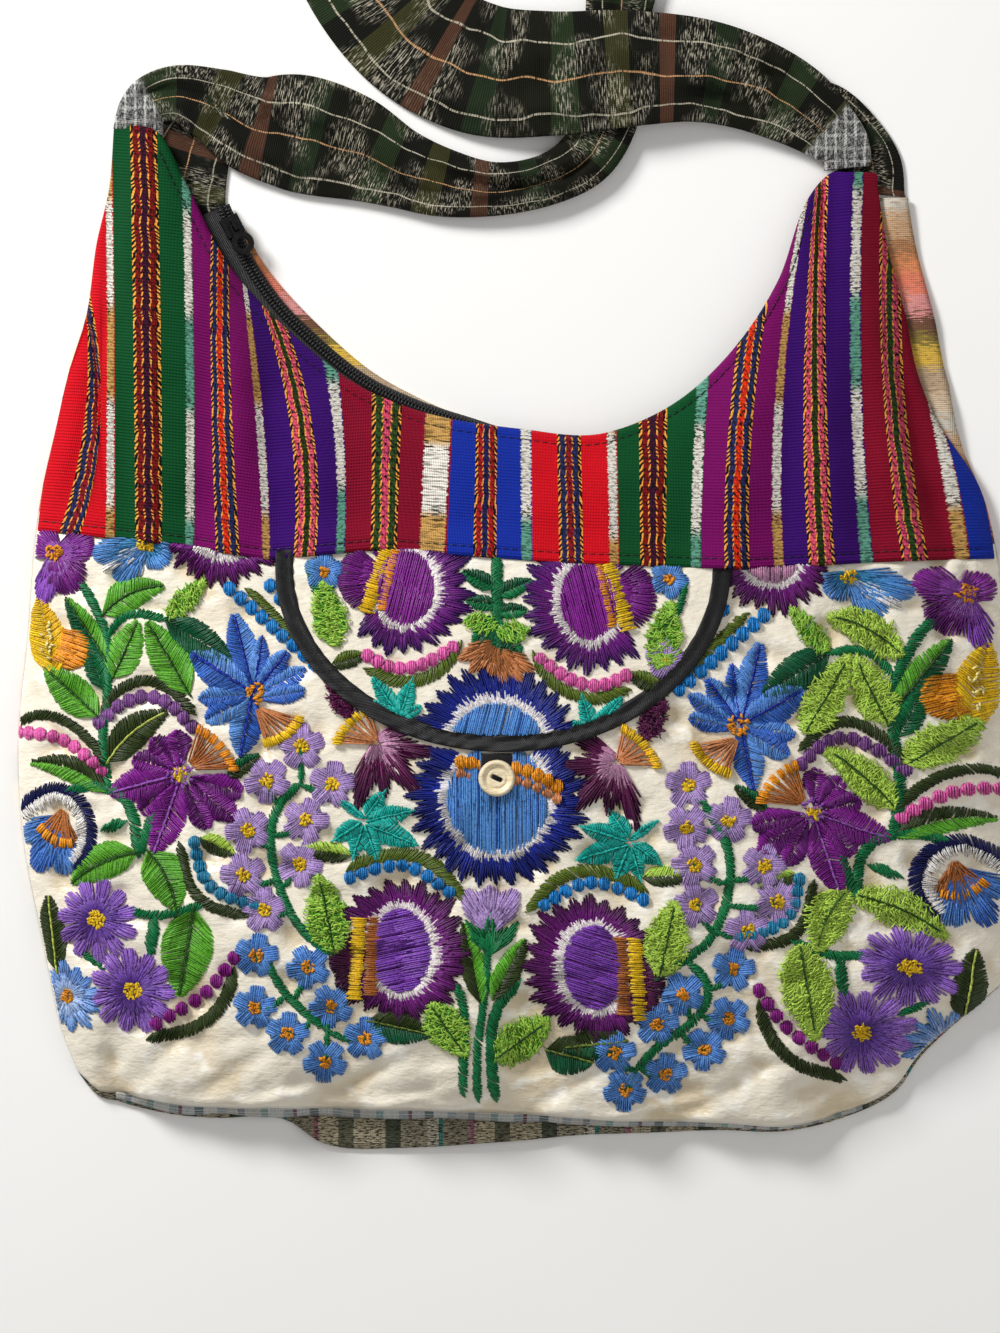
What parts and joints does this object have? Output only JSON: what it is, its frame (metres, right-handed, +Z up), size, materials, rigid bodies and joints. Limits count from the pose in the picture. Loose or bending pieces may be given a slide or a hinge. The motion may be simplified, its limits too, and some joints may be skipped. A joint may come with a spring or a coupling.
{
  "type": "hobo bag",
  "caption": "Soft patchwork shoulder bag lying on its back, with an embroidered front, striped yoke, pocket flap with a button, zip and a whole plaid strap.",
  "frame": {"origin": "on the floor under the back panel, on the centre line, level with the cross seam of the front", "axes": "+X to the right across the front face, +Y from the bottom edge towards the strap, +Z up out of the front face"},
  "size_m": [0.4067, 0.624, 0.0421],
  "materials": {
    "satin": "cream satin with floral embroidery",
    "striped_cloth": "warp-faced cloth in many-coloured stripes",
    "warm_ikat": "ikat cloth in warm bands",
    "pale_plaid": "pale plaid cotton",
    "dark_plaid": "dark ikat plaid cotton",
    "black_cloth": "black bias tape",
    "black_coil": "black coil zip",
    "black_enamel": "black enamelled metal",
    "bone": "polished bone colour"
  },
  "bodies": {
    "bag": {"front_panel": "satin", "pocket_flap": "satin", "front_yoke": "striped_cloth", "back_panel": "warm_ikat", "base_strip": "pale_plaid", "strap": "dark_plaid", "flap_binding": "black_cloth", "button_tab": "black_cloth", "zip_tape": "black_cloth", "zip_chain": "black_coil", "zip_slider": "black_enamel", "button": "bone"},
    "zip_pull": {"zip_pull": "black_enamel"}
  },
  "joints": [
    {"name": "zip_pull_flip", "type": "hinge", "parent": "bag", "child": "zip_pull", "pos_m": [-0.11286, 0.13532, 0.00885], "axis": [-0.8589, -0.4398, 0.2625], "range_deg": [0, 160]}
  ]
}
